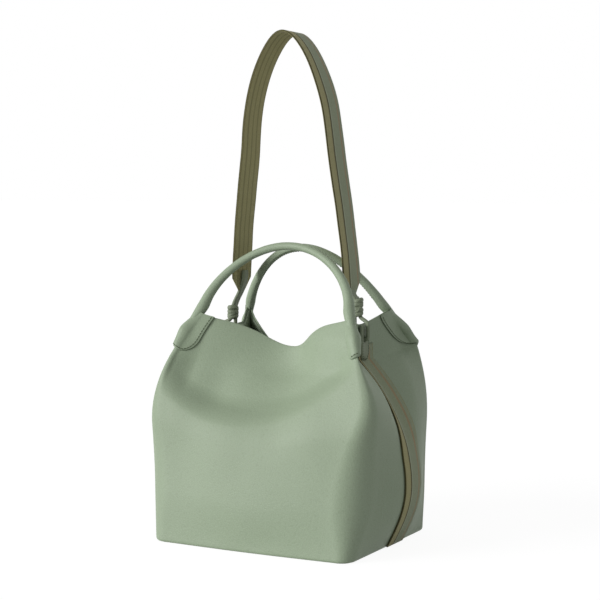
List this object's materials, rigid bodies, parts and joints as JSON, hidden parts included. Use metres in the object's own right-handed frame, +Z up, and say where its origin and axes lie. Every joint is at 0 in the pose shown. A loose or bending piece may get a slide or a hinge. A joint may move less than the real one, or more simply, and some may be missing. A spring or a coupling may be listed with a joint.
{
  "type": "bucket handbag",
  "caption": "Soft leather bucket handbag with rolled top handles and a striped webbing shoulder strap laced to its folded sides.",
  "frame": {"origin": "middle of the flat underside", "axes": "+X across the width to the right seen from the front, -Y is the front, +Z up through the opening"},
  "size_m": [0.285, 0.2094, 0.5404],
  "materials": {
    "sage_leather": "fine pebble grain, soft sheen",
    "lace_leather": "smooth cut leather, soft sheen",
    "striped_webbing": "close woven webbing with lengthwise stripes",
    "lining_cloth": "plain woven cloth",
    "cord_core": "twisted cord",
    "stiff_board": "matt stiffening board"
  },
  "bodies": {
    "bag": {"back_facing": "sage_leather", "back_left_handle_tab": "sage_leather", "back_lining": "lining_cloth", "back_panel": "sage_leather", "back_right_handle_tab": "sage_leather", "base_board": "stiff_board", "base_lining": "lining_cloth", "base_panel": "sage_leather", "front_facing": "sage_leather", "front_left_handle_tab": "sage_leather", "front_lining": "lining_cloth", "front_panel": "sage_leather", "front_right_handle_tab": "sage_leather", "inner_pocket": "lining_cloth", "left_side_tongue": "sage_leather", "left_side_webbing": "striped_webbing", "right_side_tongue": "sage_leather", "right_side_webbing": "striped_webbing"},
    "front_handle": {"front_handle": "sage_leather", "front_handle_core": "cord_core"},
    "back_handle": {"back_handle": "sage_leather", "back_handle_core": "cord_core"},
    "strap": {"strap_webbing": "striped_webbing", "left_strap_end": "lace_leather", "right_strap_end": "lace_leather", "left_strap_knot": "lace_leather", "right_strap_knot": "lace_leather", "left_lace": "lace_leather", "right_lace": "lace_leather"}
  },
  "joints": [
    {"name": "front_handle_tilt", "type": "hinge", "parent": "bag", "child": "front_handle", "pos_m": [0, -0.037, 0.251], "axis": [1, 0, 0], "range_deg": [0, 90]},
    {"name": "back_handle_tilt", "type": "hinge", "parent": "bag", "child": "back_handle", "pos_m": [0, 0.056, 0.251], "axis": [-1, 0, 0], "range_deg": [0, 90]},
    {"name": "strap_swing", "type": "hinge", "parent": "bag", "child": "strap", "pos_m": [0, 0.006, 0.22], "axis": [1, 0, 0], "range_deg": [-3, 1]}
  ]
}
